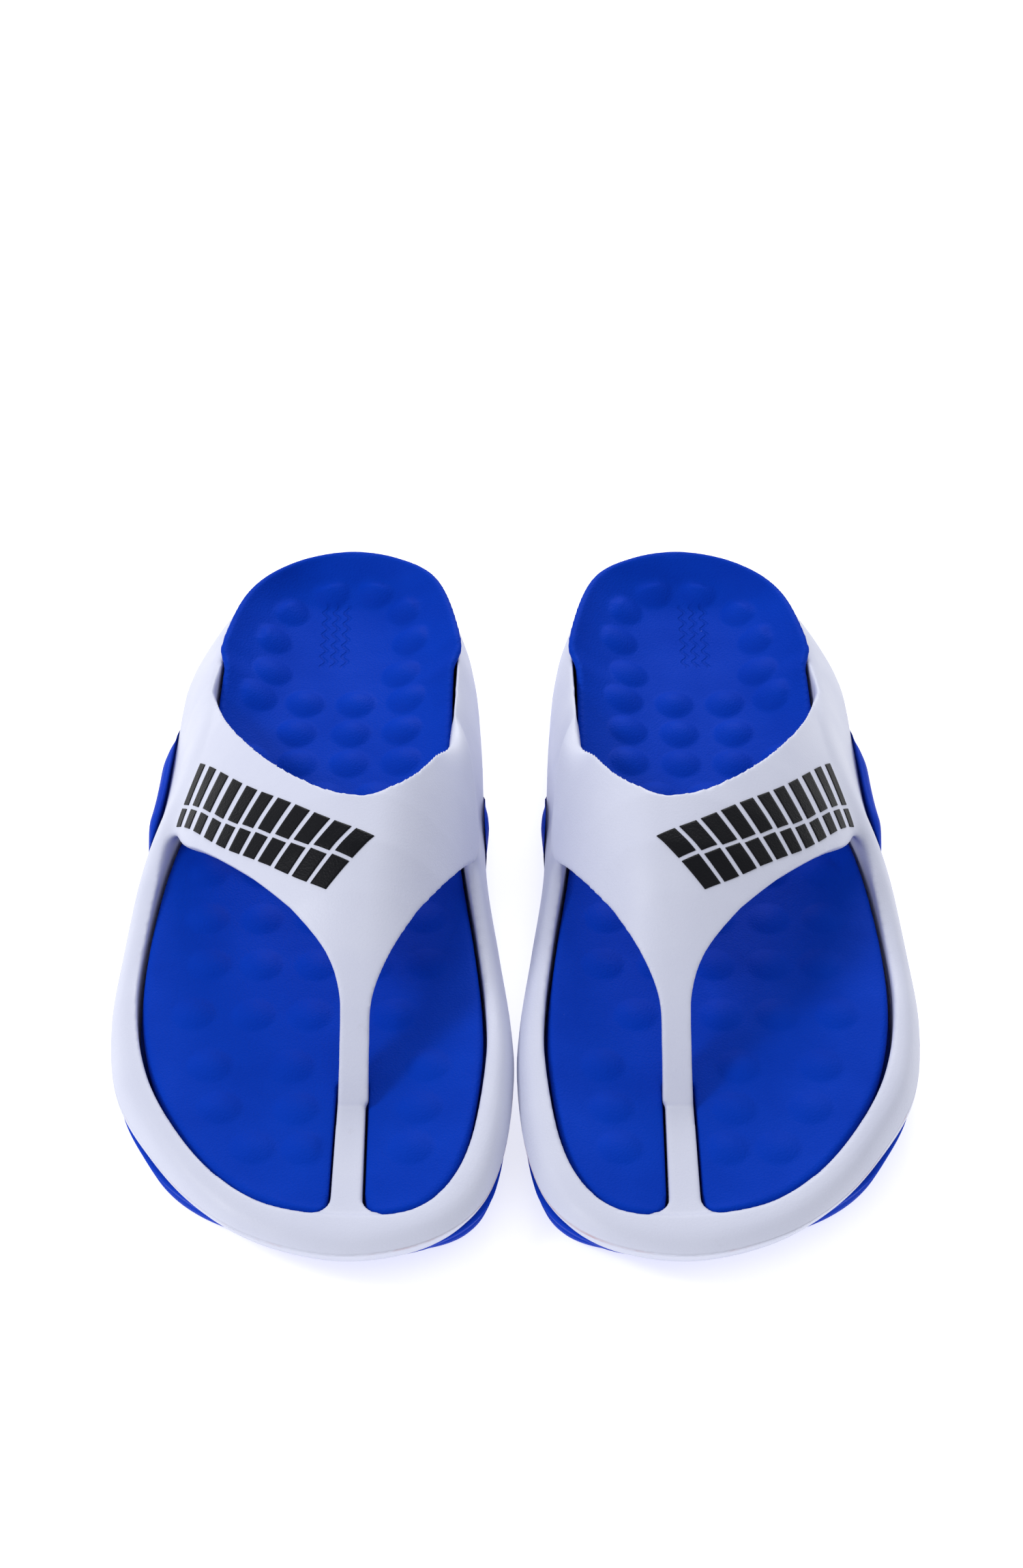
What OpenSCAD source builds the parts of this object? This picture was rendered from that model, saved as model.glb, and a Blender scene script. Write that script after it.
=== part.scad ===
// A pair of two-colour moulded foam flip flops, standing side by side.
// Each shoe is an outsole cup, a footbed with a heel lip, a one-piece upper (rim, side walls,
// strap, toe post and the bar in front of it) and a film print on the strap.
// +X is to the wearer's left, the toes point along -Y and the soles stand on z = 0.
// Inside a shoe's own modules, x is the distance from the pair's middle towards the little toe
// and y is the distance back from the tip of the toe.

/* [Pair] */
// Length of one shoe
shoe_l = 290; // [240:1:320]
// Greatest width of one shoe
shoe_w = 115; // [98:1:126]
// Gap between the two shoes where they come closest
pair_gap = 0.8; // [0.4:0.2:20]

/* [Outsole] */
// Height of the shelf that the upper and the footbed stand on
shelf_h = 9; // [7:0.5:11]
// Rise of the sole at the tip of the toe
toe_spring = 6; // [3:0.5:8]
// How far the outer waist fin stands out beyond the upper
outer_fin = 3; // [1.4:0.2:4]
// How far the inner waist fin stands out beyond the upper
inner_fin = 1.4; // [1:0.2:2.4]

/* [Footbed] */
// Gap between the footbed and the rim around it
bed_gap = 0.8; // [0.4:0.1:1.2]
// Width of the slot that the bar lies in
slot_w = 9.6; // [9:0.2:11]

/* [Upper] */
// Thickness of the strap
strap_t = 4.6; // [3:0.2:6]
// Thickness of the toe post from front to back
post_t = 7; // [5:0.5:8]

/* [Print] */
// Thickness of the printed film
film_t = 0.25; // [0.2:0.05:0.5]
// Width of the widest printed bar
bar_w = 5.4; // [4.6:0.2:5.6]
// Number of printed bars
bars = 10; // [4:1:10]

/* [Hidden] */
blue = "#1236c4";
white = "#d6d9ea";
black = "#151518";

// The outlines are drawn for a shoe of this size and scaled to shoe_l and shoe_w.
drawn_l = 290;
drawn_w = 115;
edge_steps = 3;     // points between two outline points
widest_z = 17;      // height at which the upper is widest, behind the toe
fit_gap = 0.6;      // air between the pieces of one shoe
bar_x = 44.8;       // middle of the bar in front of the toe post
bar_top = 22.4;     // top of the bar in front of the toe post
foot_d = 3;         // how far in the upper's lower edge lies from the outline
foot_top = 12.5;    // height at which the upper's foot reaches foot_top_d
foot_top_d = 0.7;
ridge_r = 8;        // rounding of the strap's ridge
bar_start = 9.4;    // front end of that bar, inside the toe rim
bar_end = 60;       // its back end, under the toe post
film_lift = 0.18;   // air between the strap and the film

// Outer outline of the upper: toe tip, little-toe side to the heel, and back along the big toe.
// Point i and point 26 - i lie opposite each other.
outline = [
    [47, 0], [70, 7], [88, 21.5], [101.5, 41], [111.3, 62], [115, 88], [114.5, 116],
    [112.4, 150], [108.3, 182], [107, 215], [105.4, 246], [97.8, 269], [80.5, 284.5], [56, 290],
    [32, 285.5], [17.8, 270], [12.6, 247], [10.2, 215], [9.2, 184], [8, 150], [4.2, 117],
    [0.8, 88], [0, 66], [2.8, 37], [10, 16.5], [25, 4]];

// Inner edge of the rim and the side walls, with its height.
rim = [
    [47, 12, 23], [66.5, 15.9, 23.3], [81.5, 26.9, 24], [93.6, 43.8, 24.6], [102.3, 63, 25],
    [107, 87, 25], [107.2, 114, 25], [103.2, 150, 32], [94, 182, 46], [93.4, 213, 42.5],
    [91.2, 237, 37.6], [84.7, 263.7, 37.6], [72.2, 278.5, 37.6], [55, 284.8, 37.6],
    [38.6, 281.3, 37.6], [26, 269.6, 37.6], [18.7, 240, 37.6], [18.2, 213, 42],
    [18.2, 186, 46], [15, 150, 32], [10.8, 117, 25], [8, 88, 25], [8, 66, 25],
    [11.8, 37.5, 24.6], [18.6, 21, 24], [29, 13, 23.3]];

// Rows of the strap from the foot of the toe post to its rear edge.  Each row runs from the
// little-toe side to the big-toe side.
strap_rows = [
    [[48.6, 52], [46.5, 52], [44.4, 52], [42.3, 52], [40.2, 52]],
    [[48.3, 64], [46.2, 64], [44.1, 64], [42, 64], [40, 64]],
    [[48.5, 74.5], [46, 75], [43.8, 75.5], [41.5, 75], [39.2, 74]],
    [[52.3, 84], [47.7, 85.7], [43.3, 86.2], [38.8, 85.5], [34, 85]],
    [[62, 96.5], [51.6, 97.4], [43, 97.4], [34.4, 97.4], [26.5, 98.7]],
    [[77.8, 114.4], [58.4, 109], [42.7, 106], [29.8, 108], [18.7, 114.3]],
    [[91, 131], [65.3, 120], [42.3, 113], [26, 118.5], [12.2, 133]],
    [[101, 148.3], [70.2, 132], [41.9, 119], [23.8, 130.5], [9.6, 149]],
    [[102.8, 172], [73, 144], [41.7, 124], [22.6, 143.5], [10.8, 172]],
    [[98, 210], [72.5, 152.5], [42, 128.2], [25.2, 148], [15, 210]]];

// Height of the strap's ridge at distances back from the toe
ridge = [[40, 12], [52, 22], [62, 31.5], [72, 41], [84, 51], [98, 60], [112, 66.5],
         [128, 70.5], [150, 73], [180, 75], [210, 76]];
// Footbed heights at its edge and along its middle
bed_edge = [[0, 22], [60, 22.8], [130, 24], [150, 25.5], [185, 31], [212, 36], [228, 40],
            [240, 41.8], [290, 41.8]];
bed_middle = [[0, 21.6], [60, 21], [130, 23], [180, 27], [215, 28.5], [245, 29.5], [268, 31.5],
              [279, 35], [290, 41.5]];

sides = len(outline);
loop_n = sides * edge_steps;
half_n = loop_n / 2;

// ---- curves ----

function ramp(a, b, x) = let (t = min(1, max(0, (x - a) / (b - a)))) t * t * (3 - 2 * t);
function mix(a, b, t) = a * (1 - t) + b * t;
function through(a, b, c, d, t) =
    0.5 * (2 * b + (c - a) * t + (2 * a - 5 * b + 4 * c - d) * t * t
           + (3 * b - a - 3 * c + d) * t * t * t);
// A closed smooth curve through the points p
function closed_curve(p, steps) = [
    for (i = [0 : len(p) - 1]) for (j = [0 : steps - 1])
        through(p[(i + len(p) - 1) % len(p)], p[i], p[(i + 1) % len(p)],
                p[(i + 2) % len(p)], j / steps)];
// The point at t on an open smooth curve through the points p
function open_at(p, t) =
    let (last = len(p) - 1, i = min(last - 1, max(0, floor(t))),
         a = i > 0 ? p[i - 1] : 2 * p[0] - p[1],
         d = i + 2 > last ? 2 * p[last] - p[last - 1] : p[i + 2])
    through(a, p[i], p[i + 1], d, t - i);
function length2(v) = sqrt(v[0] * v[0] + v[1] * v[1]);

edge = closed_curve(outline, edge_steps);
rim_edge = closed_curve(rim, edge_steps);
// Unit vectors that point into the shoe, across its outline
inward = [for (i = [0 : loop_n - 1])
    let (t = edge[(i + 1) % loop_n] - edge[(i + loop_n - 1) % loop_n])
    [-t[1], t[0]] / length2(t)];
function is_outer(i) = i < half_n;
// The outline's point i, moved inwards by d and put at height z
function inset(i, d, z) = [edge[i][0] + inward[i][0] * d, edge[i][1] + inward[i][1] * d, z];

// ---- solids from loops ----

// A drawn point at the shoe's real length and width
function real(p) = [p[0] * shoe_w / drawn_w, p[1] * shoe_l / drawn_l, p[2]];
module solid(points, faces) { polyhedron([for (p = points) real(p)], faces); }

function grid_at(base, inner, cols, j, c) =
    c == 0 || j == 0 || j == half_n ? base + j
    : c == cols ? base + loop_n - j
    : inner + (j - 1) * (cols - 1) + c - 1;
function triangles(a, b, c, d) = concat(
    a == b || b == c || a == c ? [] : [[a, b, c]],
    a == c || c == d || a == d ? [] : [[a, c, d]]);
// Faces of a lid whose rungs cross a loop from side to side
function lid(base, inner, cols) = [
    for (j = [0 : half_n - 1]) for (c = [0 : cols - 1])
        each triangles(grid_at(base, inner, cols, j, c), grid_at(base, inner, cols, j, c + 1),
                       grid_at(base, inner, cols, j + 1, c + 1),
                       grid_at(base, inner, cols, j + 1, c))];
function flipped(faces) = [for (f = faces) [f[2], f[1], f[0]]];
// Faces that join loop k of count points to the next loop
function band(k, next, count) = [
    for (i = [0 : count - 1])
        each triangles(k * count + i, next * count + i,
                       next * count + (i + 1) % count, k * count + (i + 1) % count)];

// A solid from loops that go up from its bottom; lid_points lie inside its top lid, cols - 1
// to a rung
module loop_solid(loops, lid_points, cols) {
    top = len(loops) - 1;
    points = concat([for (l = loops) each l], lid_points);
    solid(points, concat(
        flipped(lid(0, 0, 1)),
        [for (k = [0 : top - 1]) each band(k, k + 1, loop_n)],
        lid(top * loop_n, (top + 1) * loop_n, cols)));
}

// ---- heights ----

// Distance from the strap's ridge, with the ridge itself rounded off
function rounded(d) = sqrt(d * d + ridge_r * ridge_r) - ridge_r;
// Height of the strap's outer surface above the plan point (x, y)
function strap_z(x, y) =
    let (middle = mix(43.2, 41, ramp(60, 150, y)),
         reach = x > middle ? mix(64.5, 66, ramp(60, 130, y)) - 3 * ramp(160, 215, y)
                            : mix(40, 33, ramp(60, 150, y)) - ramp(160, 215, y),
         u = min(1, rounded(x - middle) / rounded(reach)),
         p = mix(1.25, 1.6, ramp(85, 150, y)),
         foot = 18)
    foot + (lookup(y, ridge) - foot) * pow(1 - pow(u, p), 1 / p);

function slope_x(x, y) = (strap_z(x + 0.5, y) - strap_z(x - 0.5, y));
function slope_y(x, y) = (strap_z(x, y + 0.5) - strap_z(x, y - 0.5));
function strap_normal(x, y) =
    let (n = [-slope_x(x, y), -slope_y(x, y), 1]) n / norm(n);
// A point on the strap, raised by h along the surface's normal
function on_strap(x, y, h) = [x, y, strap_z(x, y)] + strap_normal(x, y) * h;

// Height of the footbed at u, from 0 in its middle to 1 at its edge
function bed_z(u, y) = mix(lookup(y, bed_middle), lookup(y, bed_edge), pow(u, 3));

// ---- one shoe's sub-parts ----

// Distance in from the outline to the upper's outer face at height z
function wall_d(z) =
    z < foot_top ? mix(foot_d, foot_top_d, (z - shelf_h) / (foot_top - shelf_h))
    : z < widest_z ? mix(foot_top_d, 0, (z - foot_top) / (widest_z - foot_top))
    : 0.1 * (z - widest_z);

// The cup under the shoe, with a fin that rises beside the upper on each side of the waist
module outsole() {
    function spring(i) = toe_spring * pow(1 - min(1, edge[i][1] / 34), 2)
        + 2.5 * pow(max(0, (edge[i][1] - 262) / 28), 2);
    // the sole first spreads under the upper's edge, and then rises beside it
    function spread(i) = ramp(126, 146, edge[i][1]) * (1 - ramp(252, 268, edge[i][1]));
    function fall(i) = is_outer(i) ? ramp(203, 250, edge[i][1]) : ramp(180, 214, edge[i][1]);
    function rise(i) = ramp(143, 174, edge[i][1]) * (1 - fall(i));
    function side(i) = 9.8 - 8.5 * ramp(2, 42, edge[i][1])
        + 2 * ramp(60, 100, edge[i][1]) - 2.5 * spread(i);
    function fin(i) = rise(i) * (is_outer(i) ? outer_fin : inner_fin);
    function tucked(i, d, z) = inset(i, mix(d, min(d, wall_d(z) - fit_gap), spread(i)), z);
    function level(i, d, fin_d, z, fin_z) =
        tucked(i, mix(d, fin_d, rise(i)), mix(z, fin_z, rise(i)));
    all = [for (i = [0 : loop_n - 1]) i];
    loops = [
        [for (i = all) inset(i, side(i) + 5, spring(i))],
        [for (i = all) inset(i, side(i) + 2.2, spring(i) + 0.9)],
        [for (i = all) inset(i, side(i) + 0.4, mix(spring(i), shelf_h, 0.5))],
        [for (i = all) level(i, side(i), 0.8 - 0.8 * fin(i), shelf_h - 0.9, 11)],
        [for (i = all) level(i, side(i) + 0.1, -fin(i), shelf_h - 0.5, widest_z)],
        [for (i = all) level(i, side(i) + 0.3, 0.2 - 0.8 * fin(i), shelf_h - 0.2, 21.5)],
        [for (i = all) level(i, side(i) + 0.6, 0.8, shelf_h - 0.05, 22.6)],
        [for (i = all) level(i, side(i) + 0.9, 0, shelf_h - 0.04, widest_z)],
        [for (i = all) level(i, side(i) + 1.2, foot_top_d, shelf_h - 0.03, foot_top)],
        [for (i = all) level(i, side(i) + 1.5, foot_d, shelf_h - 0.02, shelf_h - 0.01)],
        [for (i = all) inset(i, side(i) + 2.4, shelf_h)]];
    loop_solid(loops, [], 1);
}

// The insert inside the rim, slotted at the front for the bar
module footbed() {
    cols = 12;
    // 1 where the heel lip laps over the side wall
    function out(i) = ramp(229, 241, rim_edge[i][1]);
    function at(i, d, z) =
        [rim_edge[i][0] + inward[i][0] * d, rim_edge[i][1] + inward[i][1] * d, z];
    function edge_z(i) = bed_z(1, rim_edge[i][1]);
    function lip_top(c) = abs(2 * c / cols - 1);
    all = [for (i = [0 : loop_n - 1]) i];
    loops = [
        [for (i = all) at(i, bed_gap + 0.8, shelf_h + 0.1)],
        [for (i = all) at(i, bed_gap, min(edge_z(i) - 2.2, 37.4))],
        [for (i = all) at(i, mix(bed_gap, -1.2, out(i)), edge_z(i) - 1.7)],
        [for (i = all) at(i, mix(bed_gap + 0.3, -1.4, out(i)), edge_z(i) - 0.7)],
        [for (i = all) at(i, mix(bed_gap + 1.2, 0, out(i)), edge_z(i))]];
    top = loops[len(loops) - 1];
    inside = [for (j = [1 : half_n - 1]) for (c = [1 : cols - 1])
        let (p = mix(top[j], top[loop_n - j], c / cols)) [p[0], p[1], bed_z(lip_top(c), p[1])]];
    difference() {
        loop_solid(loops, inside, cols);
        hull() for (y = [0, bar_end])
            translate(real([bar_x, y, shelf_h - 1])) cylinder(d = slot_w, h = 40, $fn = 24);
    }
}

// The rim, which becomes the side walls towards the heel
module rim_ring() {
    // 1 at the tip of the toe, where the rim's lower half tucks in and it is widest higher up
    function toe(i) = pow(1 - min(1, edge[i][1] / 60), 1.5);
    function z_at(i, f) =
        let (p = rim_edge[i], k = mix(4, 1.55, ramp(135, 175, p[1])))
        mix(widest_z + 2.5 * toe(i), p[2], 1 - pow(1 - f, k));
    function across(i, f, z) =
        let (p = mix(edge[i], [rim_edge[i][0], rim_edge[i][1]], f)) [p[0], p[1], z];
    all = [for (i = [0 : loop_n - 1]) i];
    rings = concat(
        [[for (i = all) inset(i, foot_d + 4.6 * toe(i), shelf_h + 0.1)],
         [for (i = all) inset(i, foot_top_d + 4.3 * toe(i), foot_top)]],
        [for (f = [0, 0.13, 0.3, 0.55, 0.85, 1]) [for (i = all) across(i, f, z_at(i, f))]],
        [[for (i = all) across(i, 1, z_at(i, 1) - 1.5)],
         [for (i = all) across(i, 1, shelf_h + 0.1)]]);
    n = len(rings);
    solid([for (r = rings) each r],
          [for (k = [0 : n - 1]) each band(k, (k + 1) % n, loop_n)]);
}

// The strap with its toe post, as a sheet of even thickness on the strap surface
module strap_sheet() {
    steps = 2;
    rows = steps * (len(strap_rows) - 1);
    cols = 16;
    function plan(r, c) =
        let (line = [for (k = [0 : 4]) open_at([for (row = strap_rows) row[k]], r / steps)])
        open_at(line, 4 * c / cols);
    function thick(r) = mix(post_t, strap_t, ramp(64, 96, plan(r, cols / 2)[1]));
    grid = [for (r = [0 : rows]) for (c = [0 : cols]) plan(r, c)];
    per = cols + 1;
    count = len(grid);
    top = [for (p = grid) on_strap(p[0], p[1], 0)];
    under = [for (r = [0 : rows]) for (c = [0 : cols])
        let (p = plan(r, c)) on_strap(p[0], p[1], -thick(r))];
    sheet = [for (r = [0 : rows - 1]) for (c = [0 : cols - 1])
        let (a = r * per + c) each [[a, a + 1, a + per + 1], [a, a + per + 1, a + per]]];
    border = concat([for (c = [0 : cols]) c], [for (r = [1 : rows]) r * per + cols],
                    [for (c = [cols - 1 : -1 : 0]) rows * per + c],
                    [for (r = [rows - 1 : -1 : 1]) r * per]);
    m = len(border);
    wall = [for (i = [0 : m - 1]) let (a = border[i], b = border[(i + 1) % m])
        each [[a, a + count, b + count], [a, b + count, b]]];
    solid(concat(top, under),
          concat(sheet, [for (f = sheet) [f[2] + count, f[1] + count, f[0] + count]], wall));
}

module upper() {
    rim_ring();
    strap_sheet();
    // the bar from the toe rim back to the toe post
    stations = 9;
    function bar_y(i) = mix(bar_start, bar_end, i / stations);
    function bar_half(i) = mix(4.2, 3.8, i / stations);
    for (i = [0 : stations - 1])
        hull() for (k = [i, i + 1]) translate(real([bar_x, bar_y(k), shelf_h + 0.1]))
            linear_extrude(height = bar_top - shelf_h - 0.1 - 3 * ramp(51, 56, bar_y(k)))
                square([2 * bar_half(k), 0.4], center = true);
}

// Slanted bars of printed film that follow the strap, thinner and thinner towards its outer side
module strap_print() {
    shrink = 0.4;
    for (k = [0 : bars - 1]) print_bar(k * (7.6 - 0.28 * k), bar_w - shrink * k);
}

// A bar that stands shift along the strip and is wide across
module print_bar(shift, wide) {
    start = [58.5, 113];
    along = [0.76, 0.65];
    up = [-0.25, 0.97];
    strip_h = 20;
    steps = 6;
    n = 2 * (steps + 1);
    plan = [for (t = [0 : steps]) for (side = [0, wide])
        start + along * (shift + side) + up * strip_h * t / steps];
    sheet = [for (t = [0 : steps - 1])
        let (a = 2 * t) each [[a, a + 2, a + 3], [a, a + 3, a + 1]]];
    border = concat([for (t = [0 : steps]) 2 * t], [for (t = [steps : -1 : 0]) 2 * t + 1]);
    wall = [for (i = [0 : n - 1]) let (a = border[i], c = border[(i + 1) % n])
        each [[a, c + n, c], [a, a + n, c + n]]];
    solid(concat([for (p = plan) on_strap(p[0], p[1], film_lift + film_t)],
                 [for (p = plan) on_strap(p[0], p[1], film_lift)]),
          concat(sheet, [for (f = sheet) [f[2] + n, f[1] + n, f[0] + n]], wall));
}

// ---- the pair ----

module left_side() { translate([pair_gap / 2, -shoe_l / 2, 0]) children(); }
module right_side() { mirror([1, 0, 0]) left_side() children(); }

module right_outsole() { color(blue) right_side() outsole(); }
module right_footbed() { color(blue) right_side() footbed(); }
module right_upper() { color(white) right_side() upper(); }
module right_strap_print() { color(black) right_side() strap_print(); }
module left_outsole() { color(blue) left_side() outsole(); }
module left_footbed() { color(blue) left_side() footbed(); }
module left_upper() { color(white) left_side() upper(); }
module left_strap_print() { color(black) left_side() strap_print(); }

right_outsole();
right_footbed();
right_upper();
right_strap_print();
left_outsole();
left_footbed();
left_upper();
left_strap_print();
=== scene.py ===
"""A pair of two-colour moulded foam flip flops on a plain pale floor.

Each shoe is drawn once, as the left one, in millimetres: s runs from the pair's middle towards
the little toe, v from the tip of the toe back to the heel, and z up. place() puts it on the
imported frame, and the right shoe is its mirror image.
"""

import math

import bpy
import numpy as np
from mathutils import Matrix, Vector
from mathutils.bvhtree import BVHTree


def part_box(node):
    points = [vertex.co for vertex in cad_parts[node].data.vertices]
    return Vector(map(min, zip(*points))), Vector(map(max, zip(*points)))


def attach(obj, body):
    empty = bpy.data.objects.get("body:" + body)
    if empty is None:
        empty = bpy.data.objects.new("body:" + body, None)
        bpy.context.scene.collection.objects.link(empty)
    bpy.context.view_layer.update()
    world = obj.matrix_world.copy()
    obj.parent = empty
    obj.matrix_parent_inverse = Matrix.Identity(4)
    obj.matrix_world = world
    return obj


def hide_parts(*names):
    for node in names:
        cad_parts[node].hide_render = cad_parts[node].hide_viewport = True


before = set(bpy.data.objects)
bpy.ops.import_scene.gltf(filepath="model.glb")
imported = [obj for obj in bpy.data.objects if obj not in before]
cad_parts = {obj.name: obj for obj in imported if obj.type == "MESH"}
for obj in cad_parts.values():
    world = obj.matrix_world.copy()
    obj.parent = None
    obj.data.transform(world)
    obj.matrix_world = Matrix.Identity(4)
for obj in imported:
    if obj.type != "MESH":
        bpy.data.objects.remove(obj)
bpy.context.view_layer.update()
MM = 0.001

# ---- driving sizes, in millimetres ----
DRAWN_L = 290.0                       # length of a shoe as drawn
MIDDLE_S = 56.0                       # parts the little toe's side from the big toe's
SHELF_H = 9.0                         # shelf of the outsole, which carries the other pieces
WALL_FOOT = SHELF_H + 0.1             # bottom of the upper's walls
BED_FLOOR = SHELF_H + 0.2             # bottom of the footbed and of the toe bar
FIT_GAP = 0.5                         # air between the outsole's fins and the upper
BED_GAP = 1.0                         # air between the footbed and the upper's walls
SLOT_GAP = 0.7                        # air on each side of the toe bar

TOE_SPRING, TOE_SPRING_V = 6.0, 34.0       # rise of the sole at the tip of the toe, and its end
HEEL_SPRING, HEEL_SPRING_V = 2.5, 262.0    # rise of the sole at the heel, and its start
OUTER_FIN, INNER_FIN = 2.9, 1.4       # how far the fins stand out past the outline
ZIGZAG_W, ZIGZAG_H = 9.0, 3.2         # half a wave of the tread, and its height in plan
GROOVE_PITCH, GROOVE_DEPTH = 8.5, 1.5

WIDEST_Z = 17.0                       # where the upper is widest, behind the toe
TOE_LIFT = 2.5                        # how much higher that is at the tip of the toe
TUCK_L, TUCK_POWER = 60.0, 1.5        # length and curve of the tuck under the toe rim
FOOT_D = 3.0                          # how far in the upper's outer face starts, at the shelf
FOOT_TOP, FOOT_TOP_D = 12.5, 0.7      # where its sloping foot ends, and how far in that is
WALL_LEAN = 0.1                       # how far in it leans for each millimetre of height above

STRAP_T, POST_T = 4.6, 7.0            # thickness of the strap and of the toe post
RIDGE_R = 8.0                         # radius of the strap's crown
ARCH_FOOT = 18.0                      # height at which the strap's arch meets the walls
BAR_X, BAR_TOP = 44.8, 22.4           # middle and top of the toe bar
BAR_START, BAR_END = 10.0, 60.0
BAR_HALF = 4.4, 3.8                   # half its width in front and behind
FLARE, FLARE_L, FLARE_END = 5.0, 5.5, 18.5     # the bar's flare into the toe rim

BUMP_R, BUMP_H = 6.4, 2.3             # massage bumps
BED_VOXEL, BED_SMOOTH = 0.7, 5
UPPER_VOXEL, UPPER_SMOOTH = 0.65, 6
RELAX_ROUNDS, RELAX_WEIGHT = 60, 0.8
STRAP_GRID = 150, 110                 # rows and columns of points on the strap
STEPS = 14                            # points between two outline points
LID_COLS = 90                         # quads across the sole
BED_COLS = 60                         # quads across the footbed

# the upper's outline at its widest line, as s and v, from the tip of the toe round by the
# little toe's side
OUTLINE = np.array([
    [47, 0], [70, 7], [88, 21.5], [101.5, 41], [111.3, 62], [115, 88], [114.5, 116],
    [112.4, 150], [108.3, 182], [107, 215], [105.4, 246], [97.8, 269], [80.5, 284.5], [56, 290],
    [32, 285.5], [17.8, 270], [12.6, 247], [10.2, 215], [9.2, 184], [8, 150], [4.2, 117],
    [0.8, 88], [0, 66], [2.8, 37], [10, 16.5], [25, 4]], float)
# the inner top edge of the rim and the side walls, as s, v and z, point for point as OUTLINE
RIM = np.array([
    [47, 12, 23], [66.5, 15.9, 23.3], [81.5, 26.9, 24], [93.6, 43.8, 24.6], [102.3, 63, 25],
    [107, 87, 25], [107.2, 114, 25], [103.2, 150, 32], [94, 182, 46], [93.4, 213, 42.5],
    [91.2, 237, 37.6], [84.7, 263.7, 37.6], [72.2, 278.5, 37.6], [55, 284.8, 37.6],
    [38.6, 281.3, 37.6], [26, 269.6, 37.6], [18.7, 240, 37.6], [18.2, 213, 42],
    [18.2, 186, 46], [15, 150, 32], [10.8, 117, 25], [8, 88, 25], [8, 66, 25],
    [11.8, 37.5, 24.6], [18.6, 21, 24], [29, 13, 23.3]], float)
# rows across the toe post and the strap, from the front back, each from the little toe's side in
STRAP_ROWS = np.array([
    [[48.6, 52], [46.5, 52], [44.4, 52], [42.3, 52], [40.2, 52]],
    [[48.3, 64], [46.2, 64], [44.1, 64], [42, 64], [40, 64]],
    [[48.5, 74.5], [46, 75], [43.8, 75.5], [41.5, 75], [39.2, 74]],
    [[52.3, 84], [47.7, 85.7], [43.3, 86.2], [38.8, 85.5], [34, 85]],
    [[62, 96.5], [51.6, 97.4], [43, 97.4], [34.4, 97.4], [26.5, 98.7]],
    [[77.8, 114.4], [58.4, 109], [42.7, 106], [29.8, 108], [18.7, 114.3]],
    [[91, 131], [65.3, 120], [42.3, 113], [26, 118.5], [12.2, 133]],
    [[101, 148.3], [70.2, 132], [41.9, 119], [23.8, 130.5], [9.6, 149]],
    [[102.8, 172], [73, 144], [41.7, 124], [22.6, 143.5], [10.8, 172]],
    [[98, 210], [72.5, 152.5], [42, 128.2], [25.2, 148], [15, 210]]], float)
# the strap's rear edge, from the outer side wall round to the inner one
REAR_EDGE = [(94, 212), (86, 180), (72.5, 152.2), (57, 134.1), (43, 128), (32.5, 134.9),
             (25.2, 148.3), (20, 168), (18.2, 195)]
# heights along the shoe, as v and z: the strap's crown, the tops of the side walls, and the
# footbed's top at its edge and along its middle
RIDGE = [(40, 12), (52, 23.2), (62, 31.8), (72, 41), (84, 51), (98, 60), (112, 66.5),
         (128, 70.5), (150, 73), (180, 75), (210, 76)]
WALL_TOP = [(150, 54), (184, 47), (213, 43), (240, 37.6)]
BED_EDGE = [(0, 22), (60, 22.8), (130, 24), (150, 25.5), (185, 31), (212, 36), (228, 40),
            (240, 41.8), (290, 41.8)]
BED_MIDDLE = [(0, 21.6), (60, 21), (130, 23), (180, 27), (215, 28.5), (245, 29.5),
              (268, 31.5), (277, 35), (283.5, 41), (290, 41.8)]
# rows of massage bumps: how far back each row lies, and where its bumps are across the shoe
BUMP_ROWS = [
    (274, (45, 60)), (264, (35, 73)), (249, (33, 78)), (234, (36, 77)), (221, (34, 50, 66, 81)),
    (207, (35, 51, 68)), (193, (35, 51, 67, 82)), (178, (27, 43, 59, 75)), (163, (35, 51, 67, 83)),
    (146, (27, 43, 59, 75, 91)), (127, (26, 42, 58, 74, 90)), (108, (25, 41, 57, 73, 88)),
    (88, (34, 58, 74, 91)), (68, (24, 62, 85)), (52, (26, 60, 81)), (37, (28, 57, 71))]


# ---- curves ----
def ramp(a, b, x):
    """A smooth step from 0 at a to 1 at b."""
    t = np.clip((np.asarray(x, float) - a) / (b - a), 0, 1)
    return t * t * (3 - 2 * t)


def mix(a, b, t):
    return a * (1 - t) + b * t


def lookup(x, table):
    return np.interp(x, [p[0] for p in table], [p[1] for p in table])


def through(a, b, c, d, t):
    """Catmull-Rom between b and c."""
    return 0.5 * (2 * b + (c - a) * t + (2 * a - 5 * b + 4 * c - d) * t * t
                  + (3 * b - a - 3 * c + d) * t ** 3)


def closed_curve(p, steps):
    n = len(p)
    return np.array([through(p[i - 1], p[i], p[(i + 1) % n], p[(i + 2) % n], j / steps)
                     for i in range(n) for j in range(steps)])


def open_curve(p, ts):
    """Points at ts, from 0 to len(p) - 1, on a smooth curve through the points p."""
    p = np.asarray(p, float)
    ends = np.concatenate([[2 * p[0] - p[1]], p, [2 * p[-1] - p[-2]]])
    i = np.clip(np.floor(ts).astype(int), 0, len(p) - 2)
    t = (ts - i).reshape((-1,) + (1,) * (p.ndim - 1))
    return through(ends[i], ends[i + 1], ends[i + 2], ends[i + 3], t)


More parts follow.
